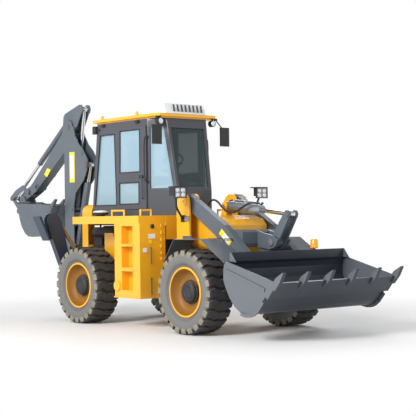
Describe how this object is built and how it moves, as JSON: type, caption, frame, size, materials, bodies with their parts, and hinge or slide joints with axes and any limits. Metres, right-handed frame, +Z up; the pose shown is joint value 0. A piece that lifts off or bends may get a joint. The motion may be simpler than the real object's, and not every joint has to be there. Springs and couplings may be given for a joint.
{
  "type": "backhoe loader",
  "caption": "Articulated backhoe loader with a cab, front loader bucket on arms, folded rear digging arm and fold-down stabilisers.",
  "frame": {"origin": "ground under the middle of the machine's length and width", "axes": "X forward towards the loader bucket, Y to the left, Z up"},
  "size_m": [8.4228, 2.394, 3.562],
  "materials": {
    "yellow_paint": "gloss",
    "grey_paint": "satin",
    "black_paint": "satin",
    "cab_grey": "satin",
    "rod_chrome": "polished",
    "tyre_rubber": "matt",
    "cab_glass": "clear",
    "engine_iron": "matt",
    "white_cover": "gloss",
    "black_plastic": "matt"
  },
  "bodies": {
    "rear_body": {"rear_frame": "black_paint", "rear_axle": "black_paint", "engine": "engine_iron", "deck": "yellow_paint", "rear_hood": "yellow_paint", "side_tanks": "yellow_paint", "cab_shell": "cab_grey", "cab_roof": "yellow_paint", "cab_glass": "cab_glass", "roof_aircon": "white_cover", "seat": "black_plastic", "console": "black_plastic", "cab_fittings": "black_plastic"},
    "front_body": {"front_frame": "yellow_paint", "front_axle": "black_paint", "fenders": "grey_paint", "headlamps": "black_plastic"},
    "wheel_front_left": {"tyre_front_left": "tyre_rubber", "rim_front_left": "yellow_paint"},
    "wheel_front_right": {"tyre_front_right": "tyre_rubber", "rim_front_right": "yellow_paint"},
    "wheel_rear_left": {"tyre_rear_left": "tyre_rubber", "rim_rear_left": "yellow_paint"},
    "wheel_rear_right": {"tyre_rear_right": "tyre_rubber", "rim_rear_right": "yellow_paint"},
    "loader_arms_body": {"loader_arms": "grey_paint"},
    "rocker_pin_body": {"rocker_pin": "black_paint"},
    "rocker_body": {"rocker": "grey_paint"},
    "link_pin_body": {"link_pin": "black_paint"},
    "bucket_link_body": {"bucket_link": "grey_paint"},
    "bucket_pins_body": {"bucket_pins": "black_paint"},
    "loader_bucket_body": {"loader_bucket": "grey_paint"},
    "tilt_barrel_body": {"tilt_barrel": "grey_paint"},
    "tilt_rod_body": {"tilt_rod": "rod_chrome"},
    "lift_barrels_body": {"lift_barrels": "grey_paint"},
    "lift_rods_body": {"lift_rods": "rod_chrome"},
    "kingpost_body": {"kingpost": "grey_paint"},
    "boom_body": {"boom": "grey_paint"},
    "boom_barrel_body": {"boom_barrel": "grey_paint"},
    "boom_rod_body": {"boom_rod": "rod_chrome"},
    "dipper_body": {"dipper": "grey_paint"},
    "dipper_barrel_body": {"dipper_barrel": "grey_paint"},
    "dipper_rod_body": {"dipper_rod": "rod_chrome"},
    "guide_lever_body": {"guide_lever": "grey_paint"},
    "hoe_link_body": {"hoe_link": "grey_paint"},
    "hoe_ram_barrel_body": {"hoe_ram_barrel": "grey_paint"},
    "hoe_ram_rod_body": {"hoe_ram_rod": "rod_chrome"},
    "hoe_bucket_body": {"hoe_bucket": "grey_paint"},
    "stabiliser_leg_left_body": {"stabiliser_leg_left": "grey_paint"},
    "stabiliser_pad_left_body": {"stabiliser_pad_left": "grey_paint"},
    "stabiliser_barrel_left_body": {"stabiliser_barrel_left": "grey_paint"},
    "stabiliser_rod_left_body": {"stabiliser_rod_left": "rod_chrome"},
    "door_left_body": {"door_left": "cab_grey", "door_glass_left": "cab_glass"},
    "stabiliser_leg_right_body": {"stabiliser_leg_right": "grey_paint"},
    "stabiliser_pad_right_body": {"stabiliser_pad_right": "grey_paint"},
    "stabiliser_barrel_right_body": {"stabiliser_barrel_right": "grey_paint"},
    "stabiliser_rod_right_body": {"stabiliser_rod_right": "rod_chrome"},
    "door_right_body": {"door_right": "cab_grey", "door_glass_right": "cab_glass"}
  },
  "joints": [
    {"name": "articulation", "type": "hinge", "parent": "rear_body", "child": "front_body", "pos_m": [1.2206, 0, 0.84], "axis": [0, 0, 1], "range_deg": [-24, 24]},
    {"name": "wheel_front_left_spin", "type": "hinge", "parent": "front_body", "child": "wheel_front_left", "pos_m": [2.1706, 0.879, 0.587], "axis": [0, 1, 0], "continuous": true},
    {"name": "wheel_front_right_spin", "type": "hinge", "parent": "front_body", "child": "wheel_front_right", "pos_m": [2.1706, -0.879, 0.587], "axis": [0, 1, 0], "continuous": true},
    {"name": "wheel_rear_left_spin", "type": "hinge", "parent": "rear_body", "child": "wheel_rear_left", "pos_m": [-0.4944, 0.879, 0.587], "axis": [0, 1, 0], "continuous": true},
    {"name": "wheel_rear_right_spin", "type": "hinge", "parent": "rear_body", "child": "wheel_rear_right", "pos_m": [-0.4944, -0.879, 0.587], "axis": [0, 1, 0], "continuous": true},
    {"name": "lift", "type": "hinge", "parent": "front_body", "child": "loader_arms_body", "pos_m": [1.5506, 0, 1.85], "axis": [0, -1, 0], "range_deg": [-6, 78]},
    {"name": "rocker_pin_turn", "type": "hinge", "parent": "loader_arms_body", "child": "rocker_pin_body", "pos_m": [2.9206, 0, 1.255], "axis": [0, -1, 0], "range_deg": [-2.08, 26.99]},
    {"name": "tilt", "type": "hinge", "parent": "bucket_pins_body", "child": "loader_bucket_body", "pos_m": [3.2116, 0, 0.403], "axis": [0, 1, 0], "range_deg": [0, 83]},
    {"name": "rocker_turn", "type": "hinge", "parent": "rocker_pin_body", "child": "rocker_body", "pos_m": [2.9206, 0, 1.255], "axis": [0, -1, 0], "range_deg": [0, 25.73]},
    {"name": "link_pin_turn", "type": "hinge", "parent": "rocker_body", "child": "link_pin_body", "pos_m": [2.5106, 0, 1.027], "axis": [0, -1, 0], "range_deg": [-12.48, 0.96]},
    {"name": "bucket_link_turn", "type": "hinge", "parent": "link_pin_body", "child": "bucket_link_body", "pos_m": [2.5106, 0, 1.027], "axis": [0, -1, 0], "range_deg": [-26.56, 0]},
    {"name": "bucket_pins_turn", "type": "hinge", "parent": "loader_arms_body", "child": "bucket_pins_body", "pos_m": [3.2116, 0, 0.403], "axis": [0, 1, 0], "range_deg": [-6, 78]},
    {"name": "tilt_barrel_turn", "type": "hinge", "parent": "front_body", "child": "tilt_barrel_body", "pos_m": [1.8706, 0, 1.78], "axis": [0, -1, 0], "range_deg": [-7.07, 91.88]},
    {"name": "tilt_rod_slide", "type": "slide", "parent": "tilt_barrel_body", "child": "tilt_rod_body", "axis": [0.9944, 0, -0.1055], "range_m": [-0.2075, 0]},
    {"name": "lift_barrels_turn", "type": "hinge", "parent": "front_body", "child": "lift_barrels_body", "pos_m": [1.4806, 0, 1.2], "axis": [0, -1, 0], "range_deg": [-4.96, 64.51]},
    {"name": "lift_rods_slide", "type": "slide", "parent": "lift_barrels_body", "child": "lift_rods_body", "axis": [0.9672, 0, -0.254], "range_m": [-0.05832, 0.75816]},
    {"name": "swing", "type": "hinge", "parent": "rear_body", "child": "kingpost_body", "pos_m": [-1.9094, 0, 0.805], "axis": [0, 0, 1], "range_deg": [-90, 90]},
    {"name": "boom_lift", "type": "hinge", "parent": "kingpost_body", "child": "boom_body", "pos_m": [-2.2004, 0, 0.95], "axis": [0, -1, 0], "range_deg": [0, 100]},
    {"name": "boom_barrel_turn", "type": "hinge", "parent": "kingpost_body", "child": "boom_barrel_body", "pos_m": [-2.0854, 0, 1.13], "axis": [0, -1, 0], "range_deg": [0, 104]},
    {"name": "boom_rod_slide", "type": "slide", "parent": "boom_barrel_body", "child": "boom_rod_body", "axis": [0.2722, 0, 0.9622], "range_m": [0, 0.305]},
    {"name": "dipper_swing", "type": "hinge", "parent": "boom_body", "child": "dipper_body", "pos_m": [-2.2144, 0, 3.195], "axis": [0, 1, 0], "range_deg": [0, 95]},
    {"name": "dipper_barrel_turn", "type": "hinge", "parent": "boom_body", "child": "dipper_barrel_body", "pos_m": [-2.1344, 0, 1.789], "axis": [0, 1, 0], "range_deg": [0, 3.8]},
    {"name": "dipper_rod_slide", "type": "slide", "parent": "dipper_barrel_body", "child": "dipper_rod_body", "axis": [0.1605, 0, 0.987], "range_m": [-0.66975, 0]},
    {"name": "hoe_bucket_curl", "type": "hinge", "parent": "dipper_body", "child": "hoe_bucket_body", "pos_m": [-3.7894, 0, 1.99], "axis": [0, 1, 0], "range_deg": [-10, 120]},
    {"name": "guide_lever_turn", "type": "hinge", "parent": "dipper_body", "child": "guide_lever_body", "pos_m": [-3.5794, 0, 2.11], "axis": [0, 1, 0], "range_deg": [-4.6, 55.2]},
    {"name": "hoe_link_turn", "type": "hinge", "parent": "guide_lever_body", "child": "hoe_link_body", "pos_m": [-4.1694, 0, 2.01], "axis": [0, 1, 0], "range_deg": [-19.2, 1.6]},
    {"name": "hoe_barrel_turn", "type": "hinge", "parent": "dipper_body", "child": "hoe_ram_barrel_body", "pos_m": [-2.2594, 0, 3.37], "axis": [0, 1, 0], "range_deg": [-0.8, 9.6]},
    {"name": "hoe_rod_slide", "type": "slide", "parent": "hoe_ram_barrel_body", "child": "hoe_ram_rod_body", "axis": [-0.8146, 0, -0.58], "range_m": [-0.4116, 0.0343]},
    {"name": "stabiliser_left", "type": "hinge", "parent": "rear_body", "child": "stabiliser_leg_left_body", "pos_m": [-1.5394, 0.48, 0.56], "axis": [-1, 0, 0], "range_deg": [0, 89]},
    {"name": "stabiliser_pad_left_turn", "type": "hinge", "parent": "stabiliser_leg_left_body", "child": "stabiliser_pad_left_body", "pos_m": [-1.5394, 0.929, 1.51], "axis": [-1, 0, 0], "range_deg": [-24.03, 0]},
    {"name": "stabiliser_barrel_left_turn", "type": "hinge", "parent": "rear_body", "child": "stabiliser_barrel_left_body", "pos_m": [-1.5394, 0.2, 0.82], "axis": [-1, 0, 0], "range_deg": [0, 76.09]},
    {"name": "stabiliser_rod_left_slide", "type": "slide", "parent": "stabiliser_barrel_left_body", "child": "stabiliser_rod_left_body", "axis": [0, 0.5905, 0.807], "range_m": [0, 0.46013]},
    {"name": "door_left_open", "type": "hinge", "parent": "rear_body", "child": "door_left_body", "pos_m": [-0.1094, 0.565, 2], "axis": [0, 0, 1], "range_deg": [0, 90]},
    {"name": "stabiliser_right", "type": "hinge", "parent": "rear_body", "child": "stabiliser_leg_right_body", "pos_m": [-1.5394, -0.48, 0.56], "axis": [1, 0, 0], "range_deg": [0, 89]},
    {"name": "stabiliser_pad_right_turn", "type": "hinge", "parent": "stabiliser_leg_right_body", "child": "stabiliser_pad_right_body", "pos_m": [-1.5394, -0.929, 1.51], "axis": [1, 0, 0], "range_deg": [-24.03, 0]},
    {"name": "stabiliser_barrel_right_turn", "type": "hinge", "parent": "rear_body", "child": "stabiliser_barrel_right_body", "pos_m": [-1.5394, -0.2, 0.82], "axis": [1, 0, 0], "range_deg": [0, 76.09]},
    {"name": "stabiliser_rod_right_slide", "type": "slide", "parent": "stabiliser_barrel_right_body", "child": "stabiliser_rod_right_body", "axis": [0, -0.5905, 0.807], "range_m": [0, 0.46013]},
    {"name": "door_right_open", "type": "hinge", "parent": "rear_body", "child": "door_right_body", "pos_m": [-0.1094, -0.565, 2], "axis": [0, 0, -1], "range_deg": [0, 90]}
  ],
  "couplings": [
    {"joint": "rocker_pin_turn", "follows": "lift", "ratio": 0.346},
    {"joint": "rocker_turn", "follows": "tilt", "ratio": 0.31},
    {"joint": "link_pin_turn", "follows": "lift", "ratio": -0.16},
    {"joint": "bucket_link_turn", "follows": "tilt", "ratio": -0.32},
    {"joint": "bucket_pins_turn", "follows": "lift", "ratio": 1},
    {"joint": "tilt_barrel_turn", "follows": "lift", "ratio": 1.178},
    {"joint": "tilt_rod_slide", "follows": "tilt", "m_per_rad": -0.14324},
    {"joint": "lift_barrels_turn", "follows": "lift", "ratio": 0.827},
    {"joint": "lift_rods_slide", "follows": "lift", "m_per_rad": 0.55691},
    {"joint": "boom_barrel_turn", "follows": "boom_lift", "ratio": 1.04},
    {"joint": "boom_rod_slide", "follows": "boom_lift", "m_per_rad": 0.17475},
    {"joint": "dipper_barrel_turn", "follows": "dipper_swing", "ratio": 0.04},
    {"joint": "dipper_rod_slide", "follows": "dipper_swing", "m_per_rad": -0.40394},
    {"joint": "guide_lever_turn", "follows": "hoe_bucket_curl", "ratio": 0.46},
    {"joint": "hoe_link_turn", "follows": "hoe_bucket_curl", "ratio": -0.16},
    {"joint": "hoe_barrel_turn", "follows": "hoe_bucket_curl", "ratio": 0.08},
    {"joint": "hoe_rod_slide", "follows": "hoe_bucket_curl", "m_per_rad": -0.19652},
    {"joint": "stabiliser_pad_left_turn", "follows": "stabiliser_left", "ratio": -0.27},
    {"joint": "stabiliser_barrel_left_turn", "follows": "stabiliser_left", "ratio": 0.855},
    {"joint": "stabiliser_rod_left_slide", "follows": "stabiliser_left", "m_per_rad": 0.29622},
    {"joint": "stabiliser_pad_right_turn", "follows": "stabiliser_right", "ratio": -0.27},
    {"joint": "stabiliser_barrel_right_turn", "follows": "stabiliser_right", "ratio": 0.855},
    {"joint": "stabiliser_rod_right_slide", "follows": "stabiliser_right", "m_per_rad": 0.29622}
  ]
}
